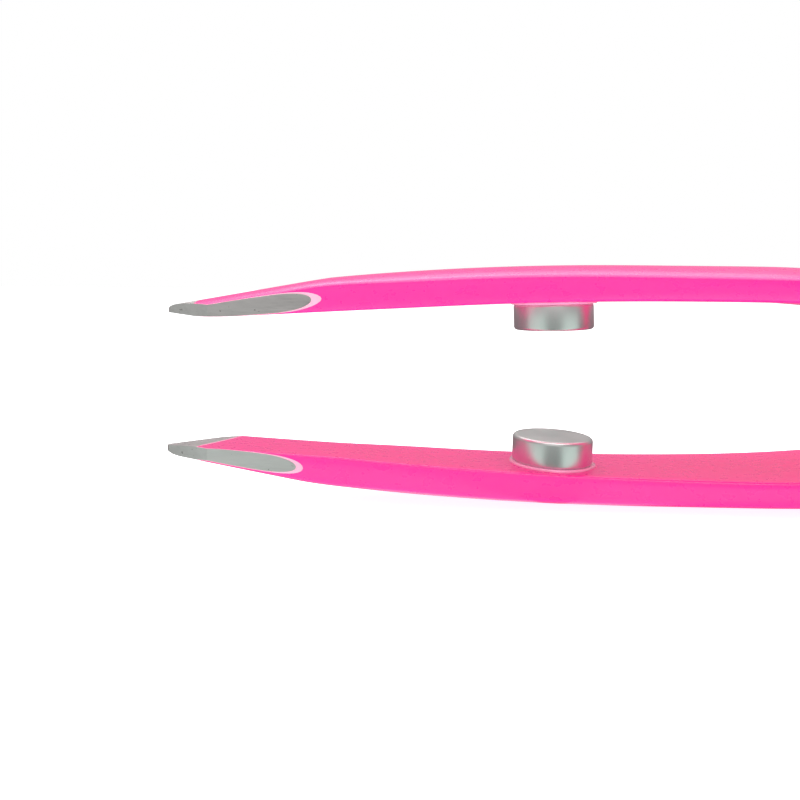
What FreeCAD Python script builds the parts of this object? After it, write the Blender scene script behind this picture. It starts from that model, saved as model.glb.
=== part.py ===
import FreeCAD, Part
import math
import os
import Sketcher

# Pointed tweezers: two mirrored steel leaves welded together at the heel, with a disc magnet
# glued to the inner face of each. +X runs from the tips to the heel, +Z from the lower arm to
# the upper one, and the tweezers stand on the crown of the lower arm's bow. Everything is drawn
# for the upper leaf, with X counted from the nose and Z from the plane between the two leaves.

doc = FreeCAD.newDocument("tweezers")
sheet = doc.addObject("Spreadsheet::Sheet", "dims")

sizes = {
    "overall_length": 97.0,      # nose to heel
    "crest_height": 9.0,         # middle plane to the top of the domed back
    "tip_half_gap": 4.8,         # middle plane to the inner face at the nose
    "nose_thickness": 0.85,      # at the very nose, on the centre line
    "land_length": 4.5,          # flat inner face of the tip
    "bow_half_gap": 6.3,         # middle plane to the inner face at its widest
    "bow_station": 39.0,         # nose to that widest place
    "bow_radius": 308.0,         # inner face's long bow
    "haunch_radius": 100.0,      # where the bow turns down to the heel
    "leaf_angle": 12.5,          # slope of the thin rear of the leaf
    "leaf_thickness": 1.3,       # thin rear of the leaf and each half of the heel
    "neck_height": 5.72,         # middle plane to where the falling back meets the thin leaf
    "back_radius": 62.0,         # from the bow's back into the falling back
    "back_steeper": 4.0,         # falling back's slope beyond the thin leaf's
    "taper_angle": 10.4,         # slope of the tip's ground back
    "taper_blend": 60.0,         # radius from the ground back into the long bow
    "crest_station": 35.0,       # nose to where the back is level
    "crest_radius": 219.0,       # back's long bow
    "dome_radius": 10.5,         # back's roundness across the leaf
    "nose_radius": 0.5,          # nose seen from above
    "flare_angle": 31.0,         # half angle of the arrow-shaped nose
    "tip_width": 5.2,            # across the ground sides of the tip
    "ground_length": 10.6,       # nose to the end of the parallel tip
    "waist_station": 34.0,       # nose to where the leaf starts to widen faster
    "waist_width": 8.3,
    "grip_station": 49.0,        # nose to the start of the widest stretch
    "grip_length": 14.0,
    "grip_width": 10.4,
    "heel_width": 8.4,
    "heel_corner": 3.6,          # rounding of the heel's corners, seen from above
    "heel_bend": 20.0,           # inner radius where the leaf turns into the weld plane
    "weld_length": 12.6,         # leaves lie face to face over this length
    "flex_setback": 8.0,         # weld start to the axis the arm flexes about
    "flex_clearance": 0.03,      # round the knuckle that stands for the flexing stretch
    "nugget_diameter": 2.6,
    "nugget_depth": 0.35,        # into each leaf
    "nugget_setback": 4.0,       # heel end to the first spot weld
    "nugget_spacing": 5.2,
    "magnet_diameter": 6.0,
    "magnet_thickness": 2.0,
    "magnet_edge": 0.25,         # rounding of the plated edge
    "magnet_station": 29.3,      # nose to the magnet's centre, along the leaf
    "glue_inset": 0.15,          # magnet's edge to the glue's edge
    "glue_thickness": 0.1,
}
for row, (alias, value) in enumerate(sizes.items(), start=1):
    sheet.set(f"A{row}", alias)
    sheet.set(f"B{row}", str(value))
    sheet.setAlias(f"B{row}", alias)
doc.recompute()

spare = 1.0                      # how far a blank reaches past the face that trims it


def size(alias):
    return float(getattr(sheet, alias))


def polar(centre, radius, angle):
    """Point at an angle in degrees round a centre."""
    turn = math.radians(angle)
    return (centre[0] + radius * math.cos(turn), centre[1] + radius * math.sin(turn))


def origin_plane(body, role):
    return next(plane for plane in body.Origin.OriginFeatures if plane.Role == role)


def new_body(name):
    return doc.addObject("PartDesign::Body", name)


def new_sketch(body, name, role):
    sketch = body.newObject("Sketcher::SketchObject", name)
    sketch.AttachmentSupport = (origin_plane(body, role), [""])
    sketch.MapMode = "FlatFace"
    return sketch


def vector(point):
    return FreeCAD.Vector(point[0], point[1], 0)


def add_line(sketch, start, end):
    return sketch.addGeometry(Part.LineSegment(vector(start), vector(end)), False)


def add_arc(sketch, centre, radius, first, last):
    """Arc from the first to the last angle in degrees, anticlockwise."""
    circle = Part.Circle(vector(centre), FreeCAD.Vector(0, 0, 1), radius)
    return sketch.addGeometry(Part.ArcOfCircle(circle, math.radians(first), math.radians(last)), False)


def bind(sketch, kind, places, value, expression):
    """Dimension of a sketch that reads its value from the sheet."""
    number = sketch.addConstraint(Sketcher.Constraint(kind, *places, value))
    sketch.setExpression(f"Constraints[{number}]", expression)


def pin_point(sketch, edge, corner, point, across, up):
    """Place a sketch point by its two distances from the sketch's origin."""
    bind(sketch, "DistanceX", (-1, 1, edge, corner), point[0], across)
    bind(sketch, "DistanceY", (-1, 1, edge, corner), point[1], up)


def tie(sketch, kind, *joints):
    """Coincident or tangent joints: each is edge, its end, edge, its end."""
    for joint in joints:
        sketch.addConstraint(Sketcher.Constraint(kind, *joint))


start, end, centre_point = 1, 2, 3

# ---- places that several sketches share, as numbers and as expressions of the sheet ----

weld_start = size("overall_length") - size("weld_length")
weld_start_cell = "dims.overall_length - dims.weld_length"
slope = math.radians(size("leaf_angle"))
half_leaf = size("leaf_thickness") / 2
axis_x = weld_start - size("flex_setback")
axis_x_cell = weld_start_cell + " - dims.flex_setback"
axis_rise = (size("flex_setback") - size("heel_bend") * math.sin(slope)) * math.tan(slope)
axis_z = size("heel_bend") * (1 - math.cos(slope)) + axis_rise + half_leaf / math.cos(slope)
axis_z_cell = (
    "dims.heel_bend * (1 - cos(dims.leaf_angle))"
    " + (dims.flex_setback - dims.heel_bend * sin(dims.leaf_angle)) * tan(dims.leaf_angle)"
    " + dims.leaf_thickness / 2 / cos(dims.leaf_angle)"
)
# the haunch touches the level crest of the bow here, and the sloping leaf further back
haunch_drop = size("bow_half_gap") - size("heel_bend") * (1 - math.cos(slope))
haunch_start = (
    weld_start - size("heel_bend") * math.sin(slope) - haunch_drop / math.tan(slope)
    - size("haunch_radius") * math.tan(slope / 2)
)
axis = (axis_x, axis_z)
along = (math.cos(slope), -math.sin(slope))      # down the thin leaf, towards the heel
outward = (math.sin(slope), math.cos(slope))     # square to it, away from the middle plane


def on_leaf(forward, off):
    """Point beside the flex axis: along the thin leaf, then square to it."""
    return (
        axis[0] + forward * along[0] + off * outward[0],
        axis[1] + forward * along[1] + off * outward[1],
    )


def inner_tangents():
    """Corner and touching points of the inner face, from the tip's land to the thin leaf."""
    bow = size("bow_radius")
    haunch = size("haunch_radius")
    bow_centre = (size("bow_station"), size("bow_half_gap") - bow)
    corner = (size("land_length"), size("tip_half_gap"))
    gap_x = bow_centre[0] - corner[0]
    gap_z = bow_centre[1] - corner[1]
    distance = math.hypot(gap_x, gap_z)
    reach = math.sqrt(distance * distance - bow * bow)
    heading = math.atan2(gap_z, gap_x) + math.asin(bow / distance)
    touch = (corner[0] + reach * math.cos(heading), corner[1] + reach * math.sin(heading))
    haunch_centre = (haunch_start, size("bow_half_gap") - haunch)
    landing = (haunch_centre[0] + haunch * outward[0], haunch_centre[1] + haunch * outward[1])
    return bow_centre, haunch_centre, corner, touch, landing


def angle_of(centre, point):
    return math.degrees(math.atan2(point[1] - centre[1], point[0] - centre[0]))


def make_profile():
    """Side view of the arm, padded both ways: inner face, knuckle and falling back."""
    body = new_body("arm_profile")
    sketch = new_sketch(body, "arm_side_view", "XZ_Plane")
    bow_centre, haunch_centre, corner, touch, landing = inner_tangents()
    top = size("crest_height") + spare / 2
    knuckle_in = on_leaf(0, -half_leaf)
    knuckle_out = on_leaf(0, half_leaf)
    back_angle = size("leaf_angle") + size("back_steeper")
    back_angle_cell = "dims.leaf_angle + dims.back_steeper"
    fall = math.radians(back_angle)
    back = size("back_radius")
    # the falling back starts where the thin leaf's outer face reaches the neck's height
    neck = size("neck_height")
    meeting = (knuckle_out[0] - (neck - knuckle_out[1]) / math.tan(slope), neck)
    brow = meeting[0] - (top - neck) / math.tan(fall)
    back_centre = (brow - back * math.tan(fall / 2), top - back)
    back_end = polar(back_centre, back, 90 - back_angle)
    nose = (0, size("tip_half_gap"))
    bow_top = (bow_centre[0], size("bow_half_gap"))

    land = add_line(sketch, nose, corner)
    rise = add_line(sketch, corner, touch)
    bow = add_arc(sketch, bow_centre, size("bow_radius"), 90, angle_of(bow_centre, touch))
    level = add_line(sketch, bow_top, (haunch_centre[0], bow_top[1]))
    haunch = add_arc(sketch, haunch_centre, size("haunch_radius"), 90 - size("leaf_angle"), 90)
    thin_inner = add_line(sketch, landing, knuckle_in)
    knuckle = add_arc(
        sketch, axis, half_leaf, angle_of(axis, knuckle_in), angle_of(axis, knuckle_out)
    )
    thin_outer = add_line(sketch, knuckle_out, meeting)
    falling = add_line(sketch, meeting, back_end)
    back_arc = add_arc(sketch, back_centre, back, 90 - back_angle, 90)
    ceiling = add_line(sketch, (back_centre[0], top), (0, top))
    front = add_line(sketch, (0, top), nose)

    tie(sketch, "Coincident", (land, end, rise, start), (thin_outer, end, falling, start))
    tie(sketch, "Coincident", (ceiling, end, front, start), (front, end, land, start))
    tie(sketch, "Tangent", (rise, end, bow, end), (bow, start, level, start), (level, end, haunch, end))
    tie(sketch, "Tangent", (haunch, start, thin_inner, start), (thin_inner, end, knuckle, start))
    tie(sketch, "Tangent", (knuckle, end, thin_outer, start), (falling, end, back_arc, start))
    tie(sketch, "Tangent", (back_arc, end, ceiling, start))
    tie(sketch, "Horizontal", (land,), (ceiling,))
    tie(sketch, "Vertical", (front,))
    tie(sketch, "PointOnObject", (land, start, -2))
    bind(sketch, "DistanceY", (-1, 1, land, start), nose[1], "dims.tip_half_gap")
    bind(sketch, "DistanceX", (land, start, land, end), corner[0], "dims.land_length")
    tie(sketch, "Horizontal", (level,))
    pin_point(sketch, bow, start, bow_top, "dims.bow_station", "dims.bow_half_gap")
    bind(sketch, "Radius", (bow,), size("bow_radius"), "dims.bow_radius")
    bind(sketch, "Radius", (haunch,), size("haunch_radius"), "dims.haunch_radius")
    pin_point(sketch, knuckle, centre_point, axis, axis_x_cell, axis_z_cell)
    bind(sketch, "Radius", (knuckle,), half_leaf, "dims.leaf_thickness / 2")
    bind(sketch, "Angle", (thin_inner,), -slope, "-dims.leaf_angle * 1 deg")
    tie(sketch, "Parallel", (thin_outer, thin_inner))
    bind(sketch, "Radius", (back_arc,), back, "dims.back_radius")
    bind(sketch, "DistanceY", (-1, 1, thin_outer, end), neck, "dims.neck_height")
    bind(sketch, "DistanceY", (-1, 1, back_arc, end), top, f"dims.crest_height + {spare / 2}")
    bind(sketch, "Angle", (falling,), math.pi - fall, f"180 deg - ({back_angle_cell}) * 1 deg")

    pad = body.newObject("PartDesign::Pad", "arm_side_pad")
    pad.Profile = sketch
    pad.SideType = "Symmetric"
    pad.setExpression("Length", f"dims.grip_width + 2 * {spare}")
    return body


def make_outline():
    """Arm seen from above: arrow nose, parallel ground tip, taper, grip and thin rear."""
    body = new_body("arm_outline")
    sketch = new_sketch(body, "arm_top_view", "XY_Plane")
    radius = size("nose_radius")
    flare = math.radians(size("flare_angle"))
    flare_start = (radius * (1 - math.sin(flare)), radius * math.cos(flare))
    tip_half = size("tip_width") / 2
    flare_end = (flare_start[0] + (tip_half - flare_start[1]) / math.tan(flare), tip_half)
    grip_end = size("grip_station") + size("grip_length")
    rear = axis_x + size("leaf_thickness")
    stations = [
        flare_start,
        flare_end,
        (size("ground_length"), tip_half),
        (size("waist_station"), size("waist_width") / 2),
        (size("grip_station"), size("grip_width") / 2),
        (grip_end, size("grip_width") / 2),
        (axis_x, size("heel_width") / 2),
        (rear, size("heel_width") / 2),
    ]
    cells = [
        ("dims.ground_length", "dims.tip_width / 2"),
        ("dims.waist_station", "dims.waist_width / 2"),
        ("dims.grip_station", "dims.grip_width / 2"),
        ("dims.grip_station + dims.grip_length", "dims.grip_width / 2"),
        (axis_x_cell, "dims.heel_width / 2"),
        (axis_x_cell + " + dims.leaf_thickness", "dims.heel_width / 2"),
    ]
    nose = add_arc(sketch, (radius, 0), radius, 90 + size("flare_angle"), 270 - size("flare_angle"))
    sides = []
    for sign in (1, -1):
        edges = []
        for (near_x, near_y), (far_x, far_y) in zip(stations, stations[1:]):
            edges.append(add_line(sketch, (near_x, sign * near_y), (far_x, sign * far_y)))
        sides.append(edges)
    closing = add_line(sketch, (rear, stations[-1][1]), (rear, -stations[-1][1]))

    tie(sketch, "Tangent", (nose, start, sides[0][0], start), (nose, end, sides[1][0], start))
    tie(sketch, "Coincident", (sides[0][-1], end, closing, start), (sides[1][-1], end, closing, end))
    tie(sketch, "PointOnObject", (nose, centre_point, -1))
    bind(sketch, "Radius", (nose,), radius, "dims.nose_radius")
    bind(sketch, "DistanceX", (-1, 1, nose, centre_point), radius, "dims.nose_radius")
    for edges, sign in zip(sides, (1, -1)):
        for near, far in zip(edges, edges[1:]):
            tie(sketch, "Coincident", (near, end, far, start))
        bind(sketch, "Angle", (edges[0],), sign * flare, f"{sign} * dims.flare_angle * 1 deg")
        tie(sketch, "Horizontal", (edges[1],))
        for edge, (station_x, half), (across, up) in zip(edges[1:], stations[2:], cells):
            bind(sketch, "DistanceX", (-1, 1, edge, end), station_x, across)
            low_to_high = (-1, 1, edge, end) if sign > 0 else (edge, end, -1, 1)
            bind(sketch, "DistanceY", low_to_high, half, up)

    pad = body.newObject("PartDesign::Pad", "arm_top_pad")
    pad.Profile = sketch
    pad.setExpression("Length", f"dims.crest_height + {spare}")
    return body


def make_dome():
    """Bar with a domed back that follows the back's long bow, and runs level past its crest."""
    body = new_body("arm_dome")
    path = new_sketch(body, "back_line", "XZ_Plane")
    crest = size("crest_radius")
    blend = size("taper_blend")
    crest_centre = (size("crest_station"), size("crest_height") - crest)
    nose = (0, size("tip_half_gap") + size("nose_thickness"))
    rise = math.radians(size("taper_angle"))
    run = (math.cos(rise), math.sin(rise))
    up = (-math.sin(rise), math.cos(rise))
    foot = (crest_centre[0] - nose[0]) * run[0] + (crest_centre[1] - nose[1]) * run[1]
    depth = -((crest_centre[0] - nose[0]) * up[0] + (crest_centre[1] - nose[1]) * up[1])
    taper_length = foot + math.sqrt((crest - blend) ** 2 - (depth - blend) ** 2)
    taper_end = (nose[0] + taper_length * run[0], nose[1] + taper_length * run[1])
    blend_centre = (taper_end[0] - blend * up[0], taper_end[1] - blend * up[1])
    handover = angle_of(crest_centre, blend_centre)
    crest_top = (crest_centre[0], size("crest_height"))
    rear = (weld_start, size("crest_height"))

    taper = add_line(path, nose, taper_end)
    blending = add_arc(path, blend_centre, blend, handover, 90 + size("taper_angle"))
    long_bow = add_arc(path, crest_centre, crest, 90, handover)
    level = add_line(path, crest_top, rear)
    tie(path, "Tangent", (taper, end, blending, end), (blending, start, long_bow, end))
    tie(path, "Tangent", (long_bow, start, level, start))
    tie(path, "PointOnObject", (taper, start, -2))
    bind(path, "DistanceY", (-1, 1, taper, start), nose[1], "dims.tip_half_gap + dims.nose_thickness")
    bind(path, "Angle", (taper,), rise, "dims.taper_angle * 1 deg")
    bind(path, "Radius", (blending,), blend, "dims.taper_blend")
    bind(path, "Radius", (long_bow,), crest, "dims.crest_radius")
    pin_point(path, long_bow, start, crest_top, "dims.crest_station", "dims.crest_height")
    tie(path, "Horizontal", (level,))
    bind(path, "DistanceX", (-1, 1, level, end), weld_start, weld_start_cell)

    section = new_sketch(body, "dome_section", "YZ_Plane")
    half = size("grip_width") / 2 + spare
    dome = size("dome_radius")
    shoulder = nose[1] - dome + math.sqrt(dome * dome - half * half)
    floor = -size("crest_height")   # deep enough to stay below the leaf all along the bow
    dome_centre = (0, nose[1] - dome)
    spread = math.degrees(math.asin(half / dome))
    left = add_line(section, (-half, shoulder), (-half, floor))
    bottom = add_line(section, (-half, floor), (half, floor))
    right = add_line(section, (half, floor), (half, shoulder))
    crown = add_arc(section, dome_centre, dome, 90 - spread, 90 + spread)
    tie(section, "Coincident", (left, end, bottom, start), (bottom, end, right, start))
    tie(section, "Coincident", (right, end, crown, start), (crown, end, left, start))
    tie(section, "Vertical", (left,), (right,))
    tie(section, "Horizontal", (bottom,))
    tie(section, "PointOnObject", (crown, centre_point, -2))
    bind(section, "Radius", (crown,), dome, "dims.dome_radius")
    bind(
        section, "DistanceY", (crown, centre_point, -1, 1), dome - nose[1],
        "dims.dome_radius - dims.tip_half_gap - dims.nose_thickness",
    )
    bind(section, "DistanceX", (-1, 1, right, start), half, f"dims.grip_width / 2 + {spare}")
    bind(section, "DistanceX", (left, start, -1, 1), half, f"dims.grip_width / 2 + {spare}")
    bind(section, "DistanceY", (bottom, start, -1, 1), -floor, "dims.crest_height")

    pipe = body.newObject("PartDesign::AdditivePipe", "domed_bar")
    pipe.Profile = section
    pipe.Spine = (path, [""])
    pipe.Mode = "Standard"
    return body


def make_arm():
    arm = doc.addObject("Part::MultiCommon", "upper_arm_blank")
    arm.Shapes = [make_profile(), make_outline(), make_dome()]
    return arm


def make_heel_leaf():
    """Rear end of the leaf: knuckle seat, thin slope, bend and the flat that is welded."""
    body = new_body("upper_heel_leaf")
    sketch = new_sketch(body, "heel_side_view", "XZ_Plane")
    seat = half_leaf + size("flex_clearance")
    seat_angle = 60
    seat_off = seat * math.sin(math.radians(seat_angle))
    seat_along = seat * math.cos(math.radians(seat_angle))
    thickness = size("leaf_thickness")
    bend = size("heel_bend")
    bend_centre = (weld_start, bend)
    bend_inner = polar(bend_centre, bend, 270 - size("leaf_angle"))
    bend_outer = polar(bend_centre, bend - thickness, 270 - size("leaf_angle"))
    length = size("overall_length")
    outer_lip = on_leaf(seat_along, half_leaf)
    inner_lip = on_leaf(seat_along, -half_leaf)
    seat_top = on_leaf(seat_along, seat_off)
    seat_bottom = on_leaf(seat_along, -seat_off)

    lower_lip = add_line(sketch, seat_bottom, inner_lip)
    inner = add_line(sketch, inner_lip, bend_inner)
    inner_bend = add_arc(sketch, bend_centre, bend, 270 - size("leaf_angle"), 270)
    weld_face = add_line(sketch, (weld_start, 0), (length, 0))
    heel_end = add_line(sketch, (length, 0), (length, thickness))
    back = add_line(sketch, (length, thickness), (weld_start, thickness))
    outer_bend = add_arc(sketch, bend_centre, bend - thickness, 270 - size("leaf_angle"), 270)
    outer = add_line(sketch, bend_outer, outer_lip)
    upper_lip = add_line(sketch, outer_lip, seat_top)
    seat_arc = add_arc(sketch, axis, seat, -seat_angle - size("leaf_angle"), seat_angle - size("leaf_angle"))

    tie(sketch, "Coincident", (lower_lip, end, inner, start), (weld_face, end, heel_end, start))
    tie(sketch, "Coincident", (heel_end, end, back, start), (outer, end, upper_lip, start))
    tie(sketch, "Coincident", (upper_lip, end, seat_arc, end), (seat_arc, start, lower_lip, start))
    tie(sketch, "Tangent", (inner, end, inner_bend, start), (inner_bend, end, weld_face, start))
    tie(sketch, "Tangent", (back, end, outer_bend, end), (outer_bend, start, outer, start))
    tie(sketch, "Coincident", (inner_bend, centre_point, outer_bend, centre_point))
    tie(sketch, "Horizontal", (weld_face,), (back,))
    tie(sketch, "Vertical", (heel_end,))
    tie(sketch, "Parallel", (outer, inner))
    tie(sketch, "Perpendicular", (lower_lip, inner), (upper_lip, outer))
    pin_point(sketch, seat_arc, centre_point, axis, axis_x_cell, axis_z_cell)
    bind(sketch, "Radius", (seat_arc,), seat, "dims.leaf_thickness / 2 + dims.flex_clearance")
    bind(sketch, "Radius", (inner_bend,), bend, "dims.heel_bend")
    pin_point(sketch, inner_bend, centre_point, bend_centre, weld_start_cell, "dims.heel_bend")
    bind(sketch, "Distance", (heel_end,), thickness, "dims.leaf_thickness")
    bind(sketch, "DistanceX", (-1, 1, heel_end, start), length, "dims.overall_length")
    bind(
        sketch, "Distance", (seat_arc, start, seat_arc, end), 2 * seat_off,
        f"2 * (dims.leaf_thickness / 2 + dims.flex_clearance) * sin({seat_angle})",
    )

    pad = body.newObject("PartDesign::Pad", "heel_pad")
    pad.Profile = sketch
    pad.SideType = "Symmetric"
    pad.setExpression("Length", "dims.heel_width")
    doc.recompute()

    corners = []
    for number, edge in enumerate(pad.Shape.Edges, start=1):
        box = edge.BoundBox
        if box.XMin > length - 0.01 and box.YLength < 0.01:
            corners.append(f"Edge{number}")
    fillet = body.newObject("PartDesign::Fillet", "heel_rounding")
    fillet.Base = (pad, corners)
    fillet.setExpression("Radius", "dims.heel_corner")

    circles = new_sketch(body, "nugget_seats", "XY_Plane")
    radius = size("nugget_diameter") / 2
    for number in range(2):
        place = length - size("nugget_setback") - number * size("nugget_spacing")
        circle = Part.Circle(FreeCAD.Vector(place, 0, 0), FreeCAD.Vector(0, 0, 1), radius)
        ring = circles.addGeometry(circle, False)
        tie(circles, "PointOnObject", (ring, centre_point, -1))
        bind(circles, "Radius", (ring,), radius, "dims.nugget_diameter / 2")
        cell = f"dims.overall_length - dims.nugget_setback - {number} * dims.nugget_spacing"
        bind(circles, "DistanceX", (-1, 1, ring, centre_point), place, cell)
    pocket = body.newObject("PartDesign::Pocket", "nugget_pockets")
    pocket.Profile = circles
    pocket.Reversed = True       # into the leaf, which lies above the weld plane
    pocket.setExpression("Length", "dims.nugget_depth")
    return body


def make_nuggets():
    """The two spot welds, half in each leaf."""
    nuggets = []
    for number in range(2):
        nugget = doc.addObject("Part::Cylinder", f"nugget_{number + 1}")
        nugget.setExpression("Radius", "dims.nugget_diameter / 2")
        nugget.setExpression("Height", "2 * dims.nugget_depth")
        cell = f"dims.overall_length / 2 - dims.nugget_setback - {number} * dims.nugget_spacing"
        nugget.setExpression("Placement.Base.x", cell)
        nugget.setExpression("Placement.Base.z", "dims.crest_height - dims.nugget_depth")
        nuggets.append(nugget)
    group = doc.addObject("Part::Compound", "weld_nuggets")
    group.Links = nuggets
    return group


# the magnet sits square to the inner face, which leans where the magnet is
lean = math.degrees(math.asin((size("bow_station") - size("magnet_station")) / size("bow_radius")))
seat_z = size("bow_half_gap") - size("bow_radius") * (1 - math.cos(math.radians(lean)))


def place_on_inner_face(piece, depth):
    """Stand a piece on the upper leaf's inner face, its own +Z pointing into the leaf."""
    turn = FreeCAD.Rotation(FreeCAD.Vector(0, 1, 0), -lean)
    seat = FreeCAD.Vector(size("magnet_station"), 0, seat_z)
    piece.Placement = FreeCAD.Placement(seat + turn.multVec(FreeCAD.Vector(0, 0, -depth)), turn)


def make_magnet():
    body = new_body("upper_magnet_disc")
    sketch = new_sketch(body, "magnet_ring", "XY_Plane")
    radius = size("magnet_diameter") / 2
    circle = Part.Circle(FreeCAD.Vector(0, 0, 0), FreeCAD.Vector(0, 0, 1), radius)
    ring = sketch.addGeometry(circle, False)
    tie(sketch, "Coincident", (ring, centre_point, -1, 1))
    bind(sketch, "Radius", (ring,), radius, "dims.magnet_diameter / 2")
    pad = body.newObject("PartDesign::Pad", "magnet_pad")
    pad.Profile = sketch
    pad.setExpression("Length", "dims.magnet_thickness")
    doc.recompute()
    rims = []
    for number, edge in enumerate(pad.Shape.Edges, start=1):
        if edge.BoundBox.ZLength < 0.01:
            rims.append(f"Edge{number}")
    rounding = body.newObject("PartDesign::Fillet", "magnet_rounding")
    rounding.Base = (pad, rims)
    rounding.setExpression("Radius", "dims.magnet_edge")
    place_on_inner_face(body, size("glue_thickness") + size("magnet_thickness"))
    return body


def make_glue(arm):
    """Glue film: flat under the magnet, and filled up to the bowed face of the leaf."""
    film = doc.addObject("Part::Cylinder", "glue_blank")
    film.setExpression("Radius", "dims.magnet_diameter / 2 - dims.glue_inset")
    film.setExpression("Height", "2 * dims.glue_thickness")
    place_on_inner_face(film, size("glue_thickness"))
    glue = doc.addObject("Part::Cut", "upper_glue_film")
    glue.Base = film
    glue.Tool = arm
    return glue


def stand(piece, label):
    """Copy of an upper piece in the tweezers' own frame, by a link that follows it."""
    placed = doc.addObject("Part::Compound", label)
    placed.Links = [piece]
    placed.setExpression("Placement.Base.x", "-dims.overall_length / 2")
    placed.setExpression("Placement.Base.z", "dims.crest_height")
    placed.Label = label
    return placed


def mirror_down(piece, label):
    """Lower twin of an upper piece, mirrored in the plane between the leaves."""
    twin = doc.addObject("Part::Mirroring", label)
    twin.Source = piece
    twin.Normal = FreeCAD.Vector(0, 0, 1)
    twin.setExpression("Base.z", "dims.crest_height")
    twin.Label = label
    return twin


arm_blank = make_arm()
upper_pieces = {
    "arm": arm_blank,
    "heel_leaf": make_heel_leaf(),
    "magnet": make_magnet(),
    "magnet_glue": make_glue(arm_blank),
}
nodes = {}
for name, piece in upper_pieces.items():
    upper = stand(piece, f"upper_{name}")
    upper.Label = f"upper_{name}"
    nodes[f"upper_{name}"] = upper
    nodes[f"lower_{name}"] = mirror_down(upper, f"lower_{name}")
nodes["weld_nuggets"] = make_nuggets()
doc.recompute()

problems = []
for item in doc.Objects:
    if "Invalid" in item.State or "Error" in item.State:
        problems.append(f"{item.Name}: {item.State}")
for name, node in nodes.items():
    if node.Shape.isNull() or not node.Shape.isValid():
        problems.append(f"{name}: its shape is null or not valid")
if problems:
    raise RuntimeError("; ".join(problems))

os.makedirs("parts", exist_ok=True)
for name, node in nodes.items():
    node.Shape.exportStep(f"parts/{name}.step")
    box = node.Shape.BoundBox
    print(
        f"{name}: {len(node.Shape.Solids)} solid, {node.Shape.Volume:.2f} mm3,"
        f" x {box.XMin:.2f}..{box.XMax:.2f}, y {box.YMin:.2f}..{box.YMax:.2f}, z {box.ZMin:.2f}..{box.ZMax:.2f}"
    )
print(f"flex axis: x {axis_x - size('overall_length') / 2:.3f}, z {axis_z:.3f} either side of the middle plane")
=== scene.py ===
import math

import bmesh
import bpy
from mathutils import Matrix, Vector


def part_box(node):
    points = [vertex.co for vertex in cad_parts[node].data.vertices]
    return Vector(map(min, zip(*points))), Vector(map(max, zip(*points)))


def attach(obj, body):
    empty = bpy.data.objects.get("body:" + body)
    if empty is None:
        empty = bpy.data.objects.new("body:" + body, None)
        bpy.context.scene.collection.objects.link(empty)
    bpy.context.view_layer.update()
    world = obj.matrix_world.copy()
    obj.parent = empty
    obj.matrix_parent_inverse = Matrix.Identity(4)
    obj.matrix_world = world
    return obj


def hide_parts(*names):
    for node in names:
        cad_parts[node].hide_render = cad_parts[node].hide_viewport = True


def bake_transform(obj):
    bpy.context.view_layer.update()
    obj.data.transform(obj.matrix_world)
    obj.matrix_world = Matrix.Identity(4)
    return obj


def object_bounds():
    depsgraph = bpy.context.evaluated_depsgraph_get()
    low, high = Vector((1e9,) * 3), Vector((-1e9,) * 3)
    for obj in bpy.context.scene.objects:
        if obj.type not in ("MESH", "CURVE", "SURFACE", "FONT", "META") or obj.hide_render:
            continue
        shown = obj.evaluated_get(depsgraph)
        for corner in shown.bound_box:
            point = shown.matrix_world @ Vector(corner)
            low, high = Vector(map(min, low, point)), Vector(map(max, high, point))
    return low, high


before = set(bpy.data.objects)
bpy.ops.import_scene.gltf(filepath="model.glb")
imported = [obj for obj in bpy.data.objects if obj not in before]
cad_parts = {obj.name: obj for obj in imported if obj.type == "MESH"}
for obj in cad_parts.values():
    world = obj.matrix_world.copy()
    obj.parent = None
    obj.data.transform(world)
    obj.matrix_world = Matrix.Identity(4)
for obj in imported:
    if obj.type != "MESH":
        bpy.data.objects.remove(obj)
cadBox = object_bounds()
mm = 0.001
frontX = cadBox[0].x  # the tips' noses
middleZ = (cadBox[0].z + cadBox[1].z) / 2  # plane between the two leaves
print("frame loaded")


def selectOnly(piece):
    bpy.ops.object.select_all(action="DESELECT")
    piece.select_set(True)
    bpy.context.view_layer.objects.active = piece


def framePoint(at, across, up, side=1):
    # at: from the nose; up: from the middle plane, along the side's own way out
    return Vector((frontX + at * mm, across * mm, middleZ + side * up * mm))


# view, floor and light

viewSettings = {
    "along": 17.6,  # nose to the point in front of the lens
    "distance": 56.5,
    "above": 7.12,  # over the plane between the leaves
    "roll": 0.6,
    "lens": 33.3,
    "shiftY": -0.141,
}


def addCamera(s):
    camera = bpy.data.objects.new("camera", bpy.data.cameras.new("camera"))
    bpy.context.scene.collection.objects.link(camera)
    level = Matrix.Rotation(math.radians(90), 4, "X")
    roll = Matrix.Rotation(math.radians(s["roll"]), 4, "Z")
    stand = Matrix.Translation(framePoint(s["along"], -s["distance"], s["above"]))
    camera.matrix_world = stand @ level @ roll
    camera.data.lens = s["lens"]
    camera.data.sensor_width = 36
    camera.data.shift_y = s["shiftY"]
    camera.data.clip_start = 0.001
    bpy.context.scene.camera = camera


addCamera(viewSettings)

roomSettings = {
    "floorSize": 6.0,
    "floorGlow": 0.85,  # washes out the shadow, as on a light table
    "floorDrop": 0.00002,
    "diffuseRoom": 0.60,
    "glossyRoom": 0.40,
    # painted reflection colours: the floor shows them only in reflections on the magnets and steel
    "paintedReflectionBright": (0.72, 0.90, 0.85),
    "paintedReflectionDark": (0.22, 0.27, 0.26),
    "paintedReflectionSide": (0.24, 0.19, 0.21),
    # painted reflection: bright bands that the floor shows only to reflections lie between these bearings in
    # degrees, from straight ahead of the magnets towards the heel
    "paintedReflectionBands": [(-87, -33), (14, 62)],
    "paintedReflectionEdge": 5,
}

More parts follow.
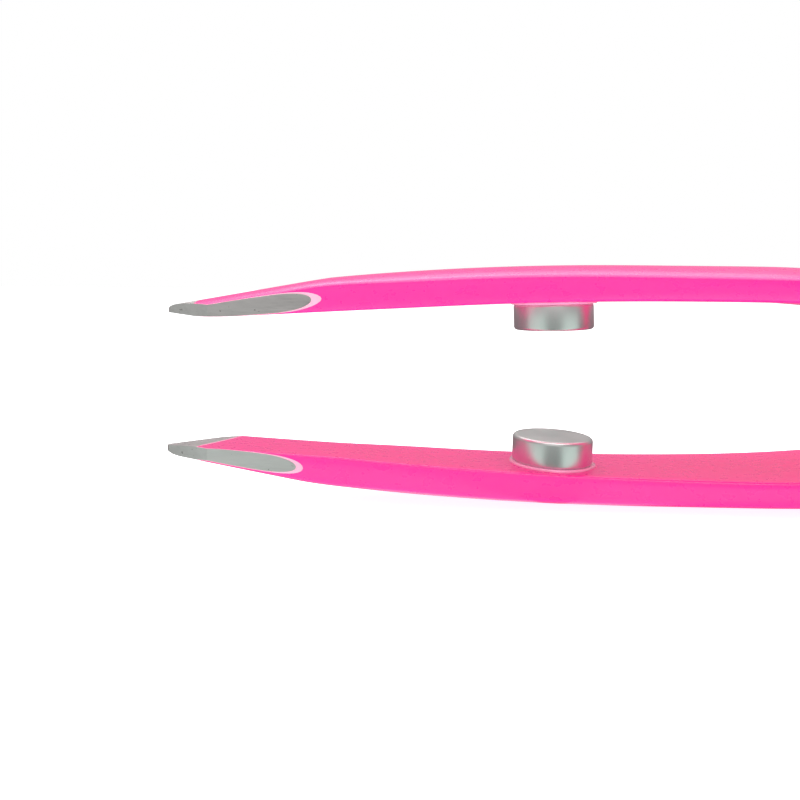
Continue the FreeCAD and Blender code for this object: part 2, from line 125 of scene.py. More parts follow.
# name, place in mm from the magnets, size in mm, watts, colour
lights = [
    ("overheadSoftbox", (10, 30, 330), (420, 420), 1.30, (1.0, 1.0, 1.0)),
    ("frontSoftbox", (-60, -330, 160), (360, 260), 0.13, (1.0, 1.0, 1.0)),
    ("backPanel", (0, 300, 330), (520, 160), 0.30, (1.0, 1.0, 1.0)),
]


def newMaterial(name):
    material = bpy.data.materials.new(name)
    material.use_nodes = True
    return material, material.node_tree, material.node_tree.nodes["Principled BSDF"]


def addNode(tree, kind, values=None, **settings):
    # values go to the node's inputs by name or number, settings to the node itself
    node = tree.nodes.new(kind)
    for name, value in settings.items():
        setattr(node, name, value)
    for name, value in (values or {}).items():
        node.inputs[name].default_value = value
    return node


def join(tree, *pairs):
    for source, target in pairs:
        tree.links.new(source, target)


def addWorld(s):
    world = bpy.data.worlds.new("whiteRoom")
    bpy.context.scene.world = world
    world.use_nodes = True
    tree = world.node_tree
    seen = tree.nodes["Background"]
    seen.inputs["Color"].default_value = (1, 1, 1, 1)
    seen.inputs["Strength"].default_value = 1.0
    room = addNode(tree, "ShaderNodeBackground", {"Color": (1, 1, 1, 1), "Strength": s["diffuseRoom"]})
    gloss = addNode(tree, "ShaderNodeBackground", {"Color": (0.98, 1, 1, 1), "Strength": s["glossyRoom"]})
    path = addNode(tree, "ShaderNodeLightPath")
    forGloss = addNode(tree, "ShaderNodeMixShader")
    forCamera = addNode(tree, "ShaderNodeMixShader")
    join(tree, (path.outputs["Is Glossy Ray"], forGloss.inputs[0]), (room.outputs[0], forGloss.inputs[1]),
         (gloss.outputs[0], forGloss.inputs[2]), (path.outputs["Is Camera Ray"], forCamera.inputs[0]),
         (forGloss.outputs[0], forCamera.inputs[1]), (seen.outputs[0], forCamera.inputs[2]),
         (forCamera.outputs[0], tree.nodes["World Output"].inputs["Surface"]))


def makeFloorPaintedReflections(s, magnetX):
    # staging only: white to the camera; painted reflection: glossy rays see a dark table
    # with two pale cards painted on the floor in front of the magnets, though neither is there
    material, tree, shader = newMaterial("whiteFloorPaintedReflections")
    shader.inputs["Base Color"].default_value = (0.86, 0.86, 0.86, 1)
    shader.inputs["Roughness"].default_value = 0.9
    shader.inputs["Emission Color"].default_value = (1, 1, 1, 1)
    shader.inputs["Emission Strength"].default_value = s["floorGlow"]
    place = addNode(tree, "ShaderNodeTexCoord")
    parts = addNode(tree, "ShaderNodeSeparateXYZ")
    along = addNode(tree, "ShaderNodeMath", {1: magnetX}, operation="SUBTRACT")
    ahead = addNode(tree, "ShaderNodeMath", {1: -1.0}, operation="MULTIPLY")
    bearing = addNode(tree, "ShaderNodeMath", operation="ARCTAN2")
    share = addNode(tree, "ShaderNodeMapRange", {"From Min": -math.pi, "From Max": math.pi})
    ramp = addNode(tree, "ShaderNodeValToRGB")
    paintedReflectionTones = [(-180, s["paintedReflectionSide"])]
    for number, (left, right) in enumerate(s["paintedReflectionBands"]):
        before = s["paintedReflectionSide"] if number == 0 else s["paintedReflectionDark"]
        after = s["paintedReflectionDark"] if number == 0 else s["paintedReflectionSide"]
        paintedReflectionTones += [(left - s["paintedReflectionEdge"], before), (left + s["paintedReflectionEdge"], s["paintedReflectionBright"]),
                  (right - s["paintedReflectionEdge"], s["paintedReflectionBright"]), (right + s["paintedReflectionEdge"], after)]
    for number, (angle, tone) in enumerate(paintedReflectionTones):
        stop = ramp.color_ramp.elements[0] if number == 0 else ramp.color_ramp.elements.new(0.99)
        stop.position = (angle + 180) / 360
        stop.color = (*tone, 1)
    ramp.color_ramp.elements.remove(ramp.color_ramp.elements[-1])
    # painted reflection: the floor glows with these bands for glossy rays only
    paintedReflection = addNode(tree, "ShaderNodeEmission", {"Strength": 1.0})
    path = addNode(tree, "ShaderNodeLightPath")
    mix = addNode(tree, "ShaderNodeMixShader")
    join(tree, (place.outputs["Object"], parts.inputs[0]), (parts.outputs["X"], along.inputs[0]),
         (parts.outputs["Y"], ahead.inputs[0]), (along.outputs[0], bearing.inputs[0]),
         (ahead.outputs[0], bearing.inputs[1]), (bearing.outputs[0], share.inputs["Value"]),
         (share.outputs[0], ramp.inputs[0]), (ramp.outputs[0], paintedReflection.inputs["Color"]),
         (path.outputs["Is Glossy Ray"], mix.inputs[0]), (shader.outputs[0], mix.inputs[1]),
         (paintedReflection.outputs[0], mix.inputs[2]), (mix.outputs[0], tree.nodes["Material Output"].inputs["Surface"]))
    return material


def addStage(s):
    addWorld(s)
    low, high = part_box("lower_magnet")
    magnets = Vector(((low.x + high.x) / 2, 0, middleZ))
    bpy.ops.mesh.primitive_plane_add(size=s["floorSize"], location=(0, 0, -s["floorDrop"]))
    floor = bpy.context.object
    floor.name = "floor"
    floor.data.materials.append(makeFloorPaintedReflections(s, magnets.x))
    for name, place, size, power, color in lights:
        lamp = bpy.data.lights.new(name, "AREA")
        lamp.shape = "RECTANGLE"
        lamp.size, lamp.size_y = size[0] * mm, size[1] * mm
        lamp.energy = power
        lamp.color = color
        holder = bpy.data.objects.new(name, lamp)
        holder.location = magnets + Vector(place) * mm
        holder.rotation_mode = "QUATERNION"
        holder.rotation_quaternion = (-Vector(place)).to_track_quat("-Z", "Y")
        bpy.context.scene.collection.objects.link(holder)
    bpy.context.scene.view_settings.view_transform = "Standard"


addStage(roomSettings)
print("stage ready")


# finishes

def makeGroup(name, inputs, outputs):
    # inputs: name and default; outputs: name and kind of socket
    group = bpy.data.node_groups.new(name, "ShaderNodeTree")
    for label, default in inputs:
        kind = "NodeSocketColor" if isinstance(default, tuple) else "NodeSocketFloat"
        group.interface.new_socket(label, in_out="INPUT", socket_type=kind).default_value = default
    for label, kind in outputs:
        group.interface.new_socket(label, in_out="OUTPUT", socket_type=kind)
    return group, addNode(group, "NodeGroupInput"), addNode(group, "NodeGroupOutput")


def makeGrainGroup():
    # cloudy tone, and a fine height that can be drawn out along the piece
    group, given, result = makeGroup("fineGrain", [("Scale", 300.0), ("Stretch", 1.0), ("Contrast", 0.1)],
                                     [("Height", "NodeSocketFloat"), ("Tone", "NodeSocketFloat")])
    place = addNode(group, "ShaderNodeTexCoord")
    squeeze = addNode(group, "ShaderNodeCombineXYZ", {"Y": 1.0, "Z": 1.0})
    drawn = addNode(group, "ShaderNodeVectorMath", operation="MULTIPLY")
    fine = addNode(group, "ShaderNodeTexNoise", {"Detail": 3.0, "Roughness": 0.55})
    broadScale = addNode(group, "ShaderNodeMath", {1: 0.14}, operation="MULTIPLY")
    broad = addNode(group, "ShaderNodeTexNoise", {"Detail": 4.0, "Roughness": 0.6})
    centred = addNode(group, "ShaderNodeMath", {1: 0.5}, operation="SUBTRACT")
    spread = addNode(group, "ShaderNodeMath", operation="MULTIPLY")
    tone = addNode(group, "ShaderNodeMath", {1: 1.0}, operation="ADD")
    join(group, (given.outputs["Stretch"], squeeze.inputs["X"]), (place.outputs["Object"], drawn.inputs[0]),
         (squeeze.outputs[0], drawn.inputs[1]), (drawn.outputs[0], fine.inputs["Vector"]),
         (given.outputs["Scale"], fine.inputs["Scale"]), (given.outputs["Scale"], broadScale.inputs[0]),
         (drawn.outputs[0], broad.inputs["Vector"]), (broadScale.outputs[0], broad.inputs["Scale"]),
         (broad.outputs[0], centred.inputs[0]), (centred.outputs[0], spread.inputs[0]),
         (given.outputs["Contrast"], spread.inputs[1]), (spread.outputs[0], tone.inputs[0]),
         (tone.outputs[0], result.inputs["Tone"]), (fine.outputs[0], result.inputs["Height"]))
    return group


def makeSpeckGroup():
    # sparse small specks that only lie between two places along the piece
    group, given, result = makeGroup(
        "wornSpecks", [("Scale", 900.0), ("Threshold", 0.72), ("From", 0.0), ("To", 1.0)],
        [("Mask", "NodeSocketFloat")])
    place = addNode(group, "ShaderNodeTexCoord")
    parts = addNode(group, "ShaderNodeSeparateXYZ")
    noise = addNode(group, "ShaderNodeTexNoise", {"Detail": 5.0, "Roughness": 0.62})
    fade = addNode(group, "ShaderNodeMapRange", {"To Min": 0.0, "To Max": 0.3},
                   interpolation_type="SMOOTHSTEP")
    limit = addNode(group, "ShaderNodeMath", operation="ADD")
    above = addNode(group, "ShaderNodeMath", operation="SUBTRACT")
    mask = addNode(group, "ShaderNodeMapRange", {"From Min": 0.0, "From Max": 0.03})
    join(group, (place.outputs["Object"], parts.inputs[0]), (place.outputs["Object"], noise.inputs["Vector"]),
         (given.outputs["Scale"], noise.inputs["Scale"]), (parts.outputs["X"], fade.inputs["Value"]),
         (given.outputs["From"], fade.inputs["From Min"]), (given.outputs["To"], fade.inputs["From Max"]),
         (given.outputs["Threshold"], limit.inputs[0]), (fade.outputs[0], limit.inputs[1]),
         (noise.outputs[0], above.inputs[0]), (limit.outputs[0], above.inputs[1]),
         (above.outputs[0], mask.inputs["Value"]), (mask.outputs[0], result.inputs["Mask"]))
    return group


fineGrain = makeGrainGroup()
wornSpecks = makeSpeckGroup()


def placeGroup(tree, group, **values):
    node = addNode(tree, "ShaderNodeGroup", node_tree=group)
    for name, value in values.items():
        node.inputs[name].default_value = value
    return node


def tint(tree, color, factor):
    # a colour made lighter or darker by a factor that changes over the surface
    scaled = addNode(tree, "ShaderNodeVectorMath", {0: color}, operation="SCALE")
    join(tree, (factor, scaled.inputs["Scale"]))
    return scaled.outputs[0]


def addBump(tree, shader, height, strength, distance):
    bump = addNode(tree, "ShaderNodeBump", {"Strength": strength, "Distance": distance})
    join(tree, (height, bump.inputs["Height"]), (bump.outputs[0], shader.inputs["Normal"]))


def spreadRoughness(tree, middle, spread):
    return addNode(tree, "ShaderNodeMapRange", {"From Min": 0.3, "From Max": 0.7, "To Min": middle - spread,
                                                "To Max": middle + spread})


enamelSettings = {
    "color": (0.93, 0.016, 0.285),
    "steel": (0.30, 0.25, 0.26),
    "roughness": 0.30,
    "coat": 0.25,
    "peelScale": 1500.0,  # orange peel
    "peelDepth": 0.000005,
    "peelStretch": 0.7,
    "peelContrast": 0.09,
    "peelStrength": 0.35,
    "coatRoughness": 0.1,
    "speckScale": 1300.0,
    "speckThreshold": 0.67,
    "wornTo": 12.0,  # mm behind the nose
}


def makeEnamel(s):
    material, tree, shader = newMaterial("pinkEnamel")
    peel = placeGroup(tree, fineGrain, Scale=s["peelScale"], Stretch=s["peelStretch"],
                      Contrast=s["peelContrast"])
    specks = placeGroup(tree, wornSpecks, Scale=s["speckScale"], Threshold=s["speckThreshold"],
                        From=frontX, To=frontX + s["wornTo"] * mm)
    body = tint(tree, s["color"], peel.outputs["Tone"])
    worn = addNode(tree, "ShaderNodeMix", {"B": (*s["steel"], 1)}, data_type="RGBA")
    rough = spreadRoughness(tree, s["roughness"], 0.06)
    join(tree, (specks.outputs["Mask"], worn.inputs["Factor"]), (body, worn.inputs["A"]),
         (worn.outputs["Result"], shader.inputs["Base Color"]),
         (peel.outputs["Height"], rough.inputs["Value"]), (rough.outputs[0], shader.inputs["Roughness"]))
    addBump(tree, shader, peel.outputs["Height"], s["peelStrength"], s["peelDepth"])
    shader.inputs["Coat Weight"].default_value = s["coat"]
    shader.inputs["Coat Roughness"].default_value = s["coatRoughness"]
    return material


def makePaintEdge():
    # the paint's own section, where grinding has cut through it
    material, tree, shader = newMaterial("paintEdge")
    grain = placeGroup(tree, fineGrain, Scale=2600.0, Stretch=1.0, Contrast=0.5)
    join(tree, (tint(tree, (0.90, 0.42, 0.56), grain.outputs["Tone"]), shader.inputs["Base Color"]))
    shader.inputs["Roughness"].default_value = 0.5
    addBump(tree, shader, grain.outputs["Height"], 0.5, 0.00001)
    return material


steelSettings = {
    "color": (0.64, 0.575, 0.57),
    "roughness": 0.40,
    "scratchScale": 9000.0,
    "scratchStretch": 0.10,
    "scratchDepth": 0.000006,
}


def makeSteel(name, s, color, roughness):
    material, tree, shader = newMaterial(name)
    scratches = placeGroup(tree, fineGrain, Scale=s["scratchScale"], Stretch=s["scratchStretch"],
                           Contrast=0.35)
    specks = placeGroup(tree, wornSpecks, Scale=2500.0, Threshold=0.60, From=frontX - 0.02, To=frontX + 0.06)
    clean = tint(tree, color, scratches.outputs["Tone"])
    stained = addNode(tree, "ShaderNodeMix", {"B": (0.20, 0.16, 0.15, 1)}, data_type="RGBA")
    rough = spreadRoughness(tree, roughness, 0.11)
    join(tree, (specks.outputs["Mask"], stained.inputs["Factor"]), (clean, stained.inputs["A"]),
         (stained.outputs["Result"], shader.inputs["Base Color"]),
         (scratches.outputs["Height"], rough.inputs["Value"]), (rough.outputs[0], shader.inputs["Roughness"]))
    shader.inputs["Metallic"].default_value = 1.0
    addBump(tree, shader, scratches.outputs["Height"], 0.5, s["scratchDepth"])
    return material


def makeNickel():
    material, tree, shader = newMaterial("nickelPlate")
    polish = placeGroup(tree, fineGrain, Scale=1800.0, Stretch=1.0, Contrast=0.14)
    smudge = placeGroup(tree, fineGrain, Scale=500.0, Stretch=1.0, Contrast=0.8)
    rough = spreadRoughness(tree, 0.34, 0.05)
    join(tree, (tint(tree, (0.74, 0.73, 0.71), polish.outputs["Tone"]), shader.inputs["Base Color"]),
         (smudge.outputs["Height"], rough.inputs["Value"]), (rough.outputs[0], shader.inputs["Roughness"]))
    shader.inputs["Metallic"].default_value = 1.0
    addBump(tree, shader, polish.outputs["Height"], 0.25, 0.000006)
    return material


def makeGlue():
    # clear, but so thin that the pink shows through
    material, tree, shader = newMaterial("curedGlue")
    lumps = placeGroup(tree, fineGrain, Scale=900.0, Stretch=1.0, Contrast=0.5)
    join(tree, (tint(tree, (0.90, 0.30, 0.50), lumps.outputs["Tone"]), shader.inputs["Base Color"]))
    shader.inputs["Roughness"].default_value = 0.18
    shader.inputs["Coat Weight"].default_value = 0.6
    addBump(tree, shader, lumps.outputs["Height"], 0.6, 0.00004)
    return material


enamel = makeEnamel(enamelSettings)
paintEdge = makePaintEdge()
groundSteel = makeSteel("groundSteel", steelSettings, steelSettings["color"], steelSettings["roughness"])
weldSteel = makeSteel("weldSteel", steelSettings, (0.42, 0.40, 0.38), 0.5)
nickel = makeNickel()
glue = makeGlue()
print("finishes ready")


# leaf blank: a domed strip, drawn ring by ring from the nose to the heel

leafSettings = {
    "stations": [
        -2.0, -0.6, 0.6, 1.8, 3.2, 4.6, 6.2, 7.8, 9.2, 10.4, 11.6, 13.4, 16, 19, 22, 25, 28, 31, 34, 37,
        40, 43, 46, 49, 52, 55, 58, 61, 64, 67, 70, 73, 76, 78.5, 80.5, 82, 83.5, 85, 86.6, 87.8, 89,
        90.4, 91.8, 93, 94.2, 95.2, 96.0, 96.6, 96.9, 97.0,
    ],
    "halfWidths": [(-2, 2.76), (13, 2.76), (17.6, 3.33), (23.7, 3.6), (29.4, 3.87), (35.9, 4.25), (42, 4.7),
                    (46.5, 5.12), (50, 5.2), (62, 5.2), (70, 4.75), (78, 4.25), (84, 4.2), (93.4, 4.2)],
    "domeRadii": [(3, 5.2), (9, 6.0), (17.6, 7.2), (33, 9.9), (45, 12.6), (56, 14), (70, 40), (80, 75)],
    "barrel": [(0, 0.06), (14, 0.06), (30, 0.0)],  # how much the side's edges draw in
    "heelCorner": 3.6,
    "thinLeaf": 1.3,
    "weldStart": 84.4,
    "heelBend": 20.0,
    "leafAngle": 12.5,
    "bowGap": 6.3,
    "bowStation": 39.0,
    "bowRadius": 308.0,
    "haunchRadius": 100.0,
    "landGap": 4.8,
    "landLength": 4.5,
    "straightTo": 20.9,  # the tip's straight run ends and the bow starts
    "noseThickness": 0.85,
    "crestHeight": 9.0,
    "crestStation": 35.0,
    "crestRadius": 219.0,
    "taperAngle": 10.4,
    "neckHeight": 5.72,
    "backRadius": 62.0,
    "backAngle": 16.5,
    "edgeRadius": 0.34,
    "edgeShares": [(0, 0.8), (12, 0.9), (40, 1.25), (97, 1.1)],
    "length": 97.0,
    "level": 2,
    "welds": (87.8, 93.0),
    "weldDimple": (1.7, 0.14),  # radius and depth
}


def between(points, value):
    # straight runs between the given places, level past both ends
    if value <= points[0][0]:
        return points[0][1]
    for (nearAt, near), (farAt, far) in zip(points, points[1:]):
        if value <= farAt:
            return near + (far - near) * (value - nearAt) / (farAt - nearAt)
    return points[-1][1]


def arcDrop(radius, run):
    return radius - math.sqrt(max(0.0, radius * radius - run * run))


def softMin(a, b, blend):
    # the lower of two heights, with their crossing rounded off
    share = min(1.0, max(0.0, 0.5 + 0.5 * (b - a) / blend))
    return b * (1 - share) + a * share - blend * share * (1 - share)


def heelBendStart(s):
    # place and gap where the thin leaf starts to turn into the weld plane
    at = s["weldStart"] - s["heelBend"] * math.sin(math.radians(s["leafAngle"]))
    return at, arcDrop(s["heelBend"], s["weldStart"] - at)


def innerGap(s, at):
    # middle plane to the inner face
    slope = math.radians(s["leafAngle"])
    bendAt, bendGap = heelBendStart(s)
    haunchAt = bendAt - (s["bowGap"] - bendGap) / math.tan(slope) - s["haunchRadius"] * math.tan(slope / 2)
    if at >= s["weldStart"]:
        return 0.0
    if at >= bendAt:
        return arcDrop(s["heelBend"], s["weldStart"] - at)
    if at >= haunchAt + s["haunchRadius"] * math.sin(slope):
        return bendGap + (bendAt - at) * math.tan(slope)
    if at >= haunchAt:
        return s["bowGap"] - arcDrop(s["haunchRadius"], at - haunchAt)
    if at >= s["straightTo"]:
        return s["bowGap"] - arcDrop(s["bowRadius"], max(0.0, s["bowStation"] - at))
    bowStarts = s["bowGap"] - arcDrop(s["bowRadius"], s["bowStation"] - s["straightTo"])
    run = max(0.0, (at - s["landLength"]) / (s["straightTo"] - s["landLength"]))
    return s["landGap"] + (bowStarts - s["landGap"]) * run


def backHeight(s, at):
    # middle plane to the crest of the domed back
    leafSlope = math.radians(s["leafAngle"])
    backSlope = math.radians(s["backAngle"])
    taper = s["landGap"] + s["noseThickness"] + at * math.tan(math.radians(s["taperAngle"]))
    bow = s["crestHeight"] - arcDrop(s["crestRadius"], max(0.0, s["crestStation"] - at))
    front = softMin(taper, bow, 0.08)
    # the falling back meets the thin leaf's outer face at the neck
    top = s["crestHeight"] + 0.5
    bendAt, bendGap = heelBendStart(s)
    thinUp = s["thinLeaf"] / math.cos(leafSlope)
    neckAt = bendAt - (s["neckHeight"] - bendGap - thinUp) / math.tan(leafSlope)
    browAt = neckAt - (top - s["neckHeight"]) / math.tan(backSlope)
    fallFrom = browAt - s["backRadius"] * math.tan(backSlope / 2)
    arcEnd = fallFrom + s["backRadius"] * math.sin(backSlope)
    if at < arcEnd:
        fall = top - arcDrop(s["backRadius"], max(0.0, at - fallFrom))
    else:
        fall = top - s["backRadius"] * (1 - math.cos(backSlope)) - (at - arcEnd) * math.tan(backSlope)
    thin = s["thinLeaf"] if at > s["weldStart"] else thinUp
    return softMin(front, max(fall, innerGap(s, at) + thin), 0.25)


def halfWidth(s, at):
    half = between(s["halfWidths"], at)
    intoCorner = at - (s["length"] - s["heelCorner"])
    if intoCorner > 0:
        half -= arcDrop(s["heelCorner"], min(intoCorner, s["heelCorner"] * 0.985))
    return half


def ringPoints(s, at):
    # one cross-section, round from the middle of the inner face: y and z in mm
    half = halfWidth(s, at)
    inner = innerGap(s, at)
    crest = backHeight(s, at)
    domeRadius = between(s["domeRadii"], at)
    shoulder = crest - arcDrop(domeRadius, half)
    edge = min(s["edgeRadius"] * between(s["edgeShares"], at), 0.24 * (shoulder - inner), 0.3 * half)
    drawn = half - between(s["barrel"], at)

    def dome(across):
        return (across, crest - arcDrop(domeRadius, across))

    side = [
        (0.0, inner),
        (0.5 * half, inner),
        (half - 2.2 * edge, inner),
        (half - 0.55 * edge, inner),
        (drawn, inner + 0.55 * edge),
        (half, inner + 2.0 * edge),
        (half, shoulder - 1.8 * edge),
        (drawn, shoulder - 0.4 * edge),
        dome(half - 0.6 * edge),
        dome(half - 2.2 * edge),
        dome(0.55 * half),
        dome(0.25 * half),
        (0.0, crest),
    ]
    return side + [(-y, z) for y, z in reversed(side[1:-1])]


def placeSelected(piece, points, before):
    # moves the selected ring to the points: fresh from an extrusion it still lies on the ring before
    cage = bmesh.from_edit_mesh(piece.data)
    cage.verts.ensure_lookup_table()
    ring = [vertex for vertex in cage.verts if vertex.select]
    if before:
        ring = [min(ring, key=lambda vertex: (vertex.co - place).length) for place in before]
    for vertex, point in zip(ring, points):
        vertex.co = point
    bmesh.update_edit_mesh(piece.data)


def pressDimples(piece, s, side):
    # the welding electrodes leave a shallow round dip on the heel's outer face
    radius, depth = s["weldDimple"]
    for vertex in piece.data.vertices:
        outer = (vertex.co.z - middleZ) * side > s["thinLeaf"] * 0.7 * mm
        for at in s["welds"]:
            away = math.hypot(vertex.co.x - frontX - at * mm, vertex.co.y) / mm
            if outer and away < radius:
                vertex.co.z -= side * depth * mm * (0.5 + 0.5 * math.cos(math.pi * away / radius))


def makeBlank(name, s, side):
    bpy.ops.object.select_all(action="DESELECT")
    points = ringPoints(s, s["stations"][0])
    bpy.ops.mesh.primitive_circle_add(vertices=len(points), radius=mm, location=(0, 0, 0))
    blank = bpy.context.object
    blank.name = name
    bpy.ops.object.mode_set(mode="EDIT")
    bpy.ops.mesh.select_all(action="SELECT")
    before = []
    for at in s["stations"]:
        if before:
            bpy.ops.mesh.extrude_region_move()
        places = [framePoint(at, y, z, side) for y, z in ringPoints(s, at)]
        placeSelected(blank, places, before)
        if not before:
            bpy.ops.mesh.edge_face_add()  # closes the nose end, and is left behind by the extrusion
        before = places
    bpy.ops.mesh.select_all(action="SELECT")
    bpy.ops.mesh.normals_make_consistent(inside=False)
    bpy.ops.object.mode_set(mode="OBJECT")
    smooth = blank.modifiers.new("smooth", "SUBSURF")
    smooth.levels = s["level"]
    smooth.render_levels = s["level"]
    bpy.ops.object.modifier_apply(modifier=smooth.name)
    pressDimples(blank, s, side)
    return blank


# grinding: flat cuts that sharpen each painted leaf's tip down to bare steel

grindSettings = {
    "paint": 0.022,
    "proud": 0.008,  # steel over the paint's cut edge
    "coreLength": 14.0,
    "snap": 1e-7,  # metres; a vertex nearer the cut than this is moved onto it
    "noseRadius": 0.5,
    "flareAngle": 31.0,
    "noseFacets": (-40, -20, 0, 20, 40),
    "sideAt": 3.66,
    "sideHalf": {1: 2.418, -1: 2.459},  # by side: half width where the parallel sides start
    "sideAngle": 2.5,
    "sideReach": 11.9,
    "crownDepth": 0.11,
    "crownReach": 12.5,
    "innerFrom": (2.6, -1.86),  # the inner facet's edge runs between these, along and across
    "innerTo": (5.8, 2.5),
    "innerDip": 0.08,
    "innerReach": 7.5,
    "bareNose": {1: 1.95, -1: 2.55},  # the paint starts here, by side
}


def selectFaces(piece, wanted):
    bpy.ops.mesh.select_mode(type="FACE")
    bpy.ops.mesh.select_all(action="DESELECT")
    cage = bmesh.from_edit_mesh(piece.data)
    for face in cage.faces:
        face.select = wanted(face)
    cage.select_flush_mode()
    bmesh.update_edit_mesh(piece.data)


def grind(piece, s, side, point, facing, reach, depth=0.0, finish=0):
    # cuts away what lies beyond a plane, ahead of reach, and closes the cut with its own finish
    normal = Vector((facing[0], facing[1], side * facing[2])).normalized()
    place = framePoint(*point, side) - normal * depth * mm
    limit = frontX + reach * mm
    selectOnly(piece)
    bpy.ops.object.mode_set(mode="EDIT")
    selectFaces(piece, lambda face: any(vertex.co.x < limit for vertex in face.verts))
    bpy.ops.mesh.select_mode(type="EDGE")
    bpy.ops.mesh.bisect(plane_co=place, plane_no=normal, clear_outer=True, threshold=s["snap"])
    cage = bmesh.from_edit_mesh(piece.data)
    if any(edge.is_boundary for edge in cage.edges):
        bpy.ops.mesh.select_all(action="DESELECT")
        bpy.ops.mesh.select_non_manifold(use_wire=False, use_multi_face=False, use_non_contiguous=False,
                                         use_verts=False)
        bpy.ops.mesh.edge_face_add()
        bpy.ops.mesh.mark_sharp()
        piece.active_material_index = finish
        bpy.ops.object.material_slot_assign()
    bpy.ops.object.mode_set(mode="OBJECT")


def grindTip(piece, s, side, depth, finish):
    radius = s["noseRadius"]
    flare = math.radians(s["flareAngle"])
    for hand in (1, -1):
        edge = (s["sideAt"], hand * s["sideHalf"][side], 0)
        lean = math.radians(s["sideAngle"])
        outward = (-math.sin(lean), hand * math.cos(lean), 0)
        grind(piece, s, side, edge, outward, s["sideReach"], depth, finish)
        corner = (radius * (1 - math.sin(flare)), hand * radius * math.cos(flare), 0)
        grind(piece, s, side, corner, (-math.sin(flare), hand * math.cos(flare), 0), 6.0, depth, finish)
    for angle in s["noseFacets"]:
        turn = math.radians(angle)
        onNose = (radius * (1 - math.cos(turn)), radius * math.sin(turn), 0)
        grind(piece, s, side, onNose, (-math.cos(turn), math.sin(turn), 0), 3.0, depth, finish)
    # the nose is rounded from above and below too: place, height, and the way the cut faces
    for at, up, facing in ((0, 5.43, (-0.37, 0, 0.93)), (0.02, 5.33, (-0.82, 0, 0.57)),
                           (0, 4.95, (-0.27, 0, -0.96)), (0.02, 5.03, (-0.75, 0, -0.66))):
        grind(piece, s, side, (at, 0, up), facing, 3.0, depth, finish)
    taper = math.radians(leafSettings["taperAngle"])
    crown = leafSettings["landGap"] + leafSettings["noseThickness"] - s["crownDepth"]
    upward = (-math.sin(taper), 0, math.cos(taper))
    grind(piece, s, side, (0, 0, crown), upward, s["crownReach"], depth, finish)
    run = Vector(s["innerTo"]) - Vector(s["innerFrom"])
    away = Vector((-run.y, run.x)).normalized() * s["innerDip"]
    corner = (*s["innerFrom"], leafSettings["landGap"])
    grind(piece, s, side, corner, (away.x, away.y, -1), s["innerReach"], depth, finish)


def smoothShade(piece, angle=35):
    selectOnly(piece)
    bpy.ops.object.shade_smooth_by_angle(angle=math.radians(angle))


def makeTip(name, blank, s, side):
    # bare steel inside the paint
    core = blank.copy()
    core.data = blank.data.copy()
    core.name = name
    bpy.context.scene.collection.objects.link(core)
    core.data.materials.append(groundSteel)
    selectOnly(core)
    bpy.ops.object.mode_set(mode="EDIT")
    bpy.ops.mesh.select_all(action="SELECT")
    coreEnd = framePoint(s["coreLength"], 0, 0)
    bpy.ops.mesh.bisect(plane_co=coreEnd, plane_no=(1, 0, 0), use_fill=True, clear_outer=True,
                        threshold=s["snap"])
    bpy.ops.mesh.select_all(action="SELECT")
    bpy.ops.transform.shrink_fatten(value=-s["paint"] * mm)
    bpy.ops.object.mode_set(mode="OBJECT")
    grindTip(core, s, side, 0.0, 0)
    smoothShade(core)
    return core


def makeLeaf(names, arm, heelLeaf, side):
    leafName, tipName = names
    leaf = makeBlank(leafName, leafSettings, side)
    tip = makeTip(tipName, leaf, grindSettings, side)
    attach(tip, arm)
    leaf.data.materials.append(enamel)
    leaf.data.materials.append(paintEdge)
    grindTip(leaf, grindSettings, side, grindSettings["proud"], 1)
    grind(leaf, grindSettings, side, (grindSettings["bareNose"][side], 0, 0), (-1, 0.3, 0.15), 5.0, 0.0, 1)
    smoothShade(leaf)
    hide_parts(arm, heelLeaf)
    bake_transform(leaf)


makeLeaf(("upperLeaf", "upperTip"), "upper_arm", "upper_heel_leaf", 1)
makeLeaf(("lowerLeaf", "lowerTip"), "lower_arm", "lower_heel_leaf", -1)
print("leaves and tips made")


# magnets and their glue

magnetSettings = {
    "radius": 3.0,
    "thickness": 2.0,
    "rim": 0.25,
    "rimSteps": 5,
    "sides": 96,
    "film": 0.1,  # glue under the magnet
    "beadRadius": 3.22,
    "beadHeight": 0.17,  # over the inner face
    "beadSunk": 0.08,
    "beadWander": ((2, 0.05, 0.6), (5, 0.035, 2.1), (9, 0.02, 4.0)),  # waves round it, size, start
}


def discPlace(node, side):
    # centre of the magnet and the lean of the inner face that it sits on
    low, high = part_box(node)
    centre = (low + high) / 2
    ahead = leafSettings["bowStation"] - (centre.x - frontX) / mm
    return centre, math.asin(ahead / leafSettings["bowRadius"]) * side


def addDisc(name, radius, thickness, centre, lean, sides):
    bpy.ops.object.select_all(action="DESELECT")
    bpy.ops.mesh.primitive_cylinder_add(vertices=sides, radius=radius * mm, depth=thickness * mm,
                                        location=centre, rotation=(0, -lean, 0))
    disc = bpy.context.object
    disc.name = name
    return disc


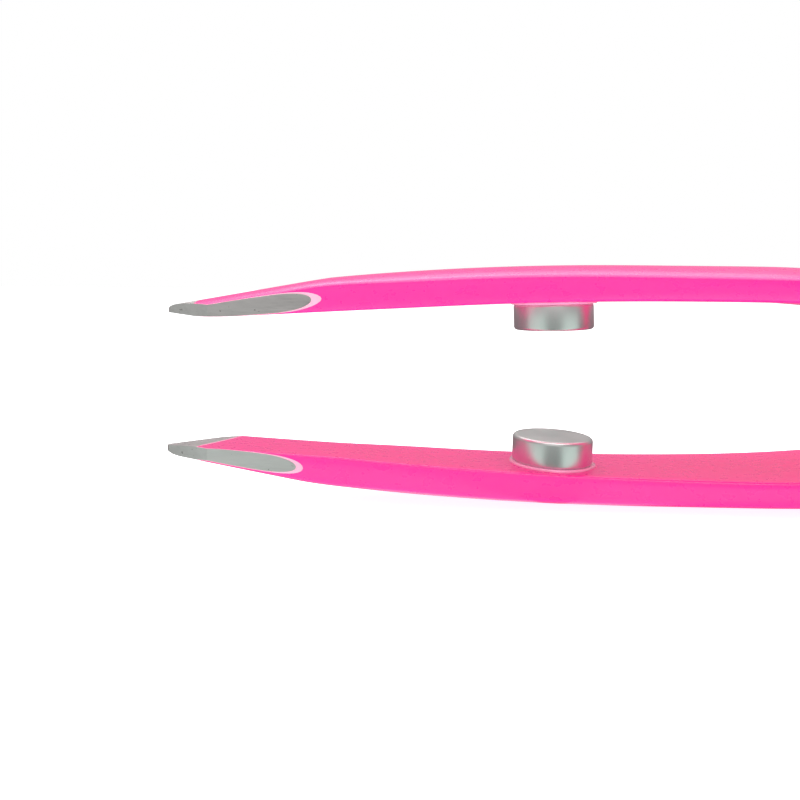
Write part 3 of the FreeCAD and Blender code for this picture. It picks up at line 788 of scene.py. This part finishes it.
def bevelCaps(disc, sides, offset, steps, wanted=lambda face: True):
    bpy.ops.object.mode_set(mode="EDIT")
    selectFaces(disc, lambda face: len(face.verts) == sides and wanted(face))
    bpy.ops.mesh.bevel(offset=offset * mm, segments=steps, affect="EDGES")
    bpy.ops.object.mode_set(mode="OBJECT")


def makeMagnet(name, s, arm, side):
    centre, lean = discPlace(arm.replace("arm", "magnet"), side)
    magnet = addDisc(name, s["radius"], s["thickness"], centre, lean, s["sides"])
    bevelCaps(magnet, s["sides"], s["rim"], s["rimSteps"])
    bpy.ops.object.transform_apply(location=True, rotation=True, scale=True)
    magnet.data.materials.append(nickel)
    smoothShade(magnet)
    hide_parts(arm.replace("arm", "magnet"))
    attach(magnet, arm)


def makeBead(name, s, arm, side):
    # the glue film and the uneven bead that it squeezes out round the magnet
    centre, lean = discPlace(arm.replace("arm", "magnet"), side)
    toLeaf = Vector((-math.sin(lean), 0, math.cos(lean))) * side
    depth = s["beadHeight"] + s["beadSunk"]
    face = s["thickness"] / 2 + s["film"]
    middle = face + (s["beadSunk"] - s["beadHeight"]) / 2
    bead = addDisc(name, s["beadRadius"], depth, centre + toLeaf * middle * mm, lean, s["sides"])
    for vertex in bead.data.vertices:
        bearing = math.atan2(vertex.co.y, vertex.co.x)
        swell = sum(size * math.sin(waves * bearing + start) for waves, size, start in s["beadWander"])
        vertex.co.x *= 1 + swell / s["beadRadius"]
        vertex.co.y *= 1 + swell / s["beadRadius"]
    bevelCaps(bead, s["sides"], s["beadHeight"] * 0.8, 4, lambda cap: cap.normal.z * side < 0)
    bpy.ops.object.transform_apply(location=True, rotation=True, scale=True)
    bead.data.materials.append(glue)
    smoothShade(bead, 50)
    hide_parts(arm.replace("arm", "magnet_glue"))
    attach(bead, arm)


for upper, side in (("upper", 1), ("lower", -1)):
    makeMagnet(f"{upper}Magnet", magnetSettings, f"{upper}_arm", side)
    makeBead(f"{upper}Bead", magnetSettings, f"{upper}_arm", side)
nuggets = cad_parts["weld_nuggets"]
nuggets.data.materials.clear()
nuggets.data.materials.append(weldSteel)
print("magnets and glue made")
